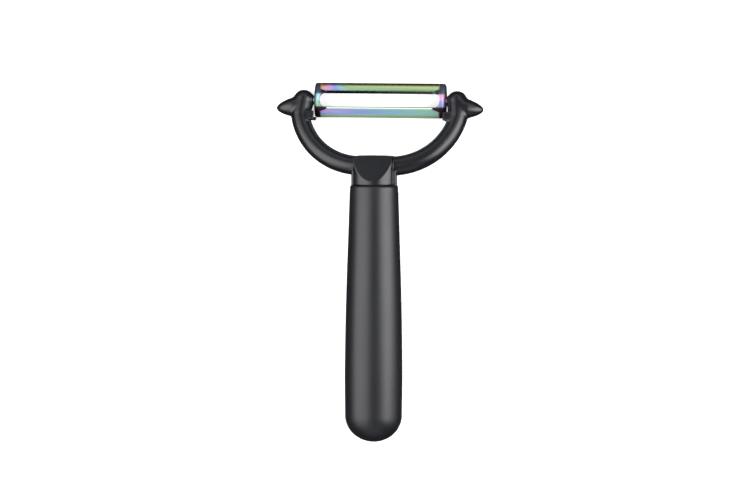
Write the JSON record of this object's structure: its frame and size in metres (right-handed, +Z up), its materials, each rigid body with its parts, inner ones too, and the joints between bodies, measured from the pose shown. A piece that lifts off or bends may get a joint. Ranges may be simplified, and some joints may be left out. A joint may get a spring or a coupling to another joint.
{
  "type": "vegetable peeler",
  "caption": "Y-shaped vegetable peeler with a swivelling slotted blade, swept-back arms with pointed eye removers and a tapered round grip.",
  "frame": {"origin": "middle of the footprint, on the table the peeler lies on", "axes": "+Z up from the table, +Y along the grip towards the blade, +X along the pivot axis to the right"},
  "size_m": [0.0918, 0.157, 0.0256],
  "materials": {
    "yoke_moulding": "satin moulded nylon, charcoal black",
    "grip_moulding": "fine-grained soft-touch moulding, charcoal black",
    "coated_blade_steel": "polished stainless strip with a rainbow interference coat",
    "pin_steel": "turned stainless steel"
  },
  "bodies": {
    "frame": {"yoke": "yoke_moulding", "handle": "grip_moulding", "pivot_pin_left": "pin_steel", "pivot_pin_right": "pin_steel"},
    "blade": {"blade": "coated_blade_steel"}
  },
  "joints": [
    {"name": "blade_swivel", "type": "hinge", "parent": "frame", "child": "blade", "pos_m": [0, 0.07087, 0.00455], "axis": [1, 0, 0], "range_deg": [-35.5, 2.5]}
  ]
}
